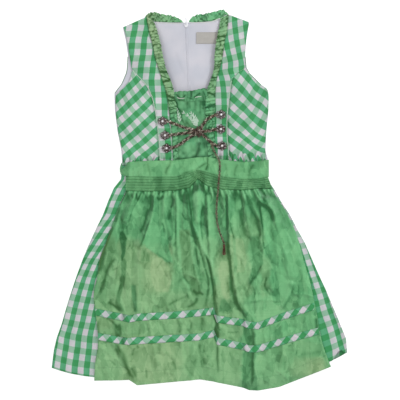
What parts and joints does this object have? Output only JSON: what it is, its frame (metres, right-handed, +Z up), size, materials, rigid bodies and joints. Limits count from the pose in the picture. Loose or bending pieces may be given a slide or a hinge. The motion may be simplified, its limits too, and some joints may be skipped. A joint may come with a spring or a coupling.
{
  "type": "dirndl dress",
  "caption": "Sleeveless gingham dirndl dress lying flat on its back, with a shiny gathered apron, neck frills, flower lacing hooks, a chain lace and a back zip.",
  "frame": {"origin": "on the surface that the dress lies on, under the middle of its outline", "axes": "+Z up out of the front of the dress, +Y from the hem to the neck, +X to the right as seen from above"},
  "size_m": [0.711, 0.9169, 0.0244],
  "materials": {
    "gingham": "green and white woven cotton check, matt",
    "lining": "white cotton lining, matt",
    "taffeta": "shot green taffeta with a soft shine and fine creases",
    "pewter": "antiqued pewter, dark in its recesses",
    "white_plastic": "white moulded zip",
    "label_cloth": "bare beige woven label"
  },
  "bodies": {
    "dress": {"back_bodice_left": "gingham", "back_bodice_right": "gingham", "centre_front_left": "gingham", "centre_front_right": "gingham", "side_front_left": "gingham", "side_front_right": "gingham", "skirt_back": "gingham", "skirt_front": "gingham", "apron_trim_upper": "gingham", "apron_trim_lower": "gingham", "back_lining_left": "lining", "back_lining_right": "lining", "insert": "taffeta", "insert_frill": "taffeta", "neck_frill_left": "taffeta", "neck_frill_right": "taffeta", "back_frill_left": "taffeta", "back_frill_right": "taffeta", "apron_skirt": "taffeta", "apron_yoke": "taffeta", "apron_band": "taffeta", "apron_back_band": "taffeta", "hook_left_1": "pewter", "hook_left_2": "pewter", "hook_left_3": "pewter", "hook_right_1": "pewter", "hook_right_2": "pewter", "hook_right_3": "pewter", "lace_left_1": "pewter", "lace_left_2": "pewter", "lace_left_3": "pewter", "lace_right_1": "pewter", "lace_right_2": "pewter", "lace_right_3": "pewter", "lace_crossing": "pewter", "chain_tail": "pewter", "chain_end": "pewter", "zip_chain": "white_plastic", "zip_slider": "white_plastic", "label": "label_cloth"},
    "zip_tab": {"zip_tab": "white_plastic"}
  },
  "joints": [
    {"name": "zip_tab_swing", "type": "hinge", "parent": "dress", "child": "zip_tab", "pos_m": [-0.0334, 0.4245, 0.0052], "axis": [1, 0, 0], "range_deg": [0, 175]}
  ]
}
